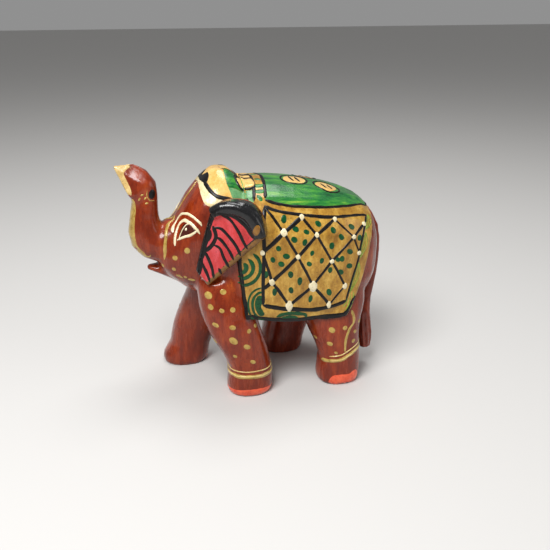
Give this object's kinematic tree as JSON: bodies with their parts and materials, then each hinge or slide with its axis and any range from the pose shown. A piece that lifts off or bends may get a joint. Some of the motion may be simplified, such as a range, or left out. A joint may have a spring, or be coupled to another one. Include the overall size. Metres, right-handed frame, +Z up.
{
  "type": "carved wooden elephant",
  "caption": "Small carved and painted wooden elephant, walking with its trunk raised, with a patterned saddle cloth; stands on flat soles.",
  "frame": {"origin": "on the surface that it stands on, under the middle of its bounding box", "axes": "+Z up, the head points along -X, the elephant's left side faces -Y"},
  "size_m": [0.1094, 0.0574, 0.0943],
  "materials": {
    "lacquered_wood": "gloss",
    "cloth_paint": "gloss",
    "ear_paint": "gloss"
  },
  "bodies": {
    "root": {"carved_block": "lacquered_wood", "tail": "lacquered_wood", "saddle_cloth": "cloth_paint", "ear_left": "ear_paint", "ear_right": "ear_paint"}
  },
  "joints": []
}
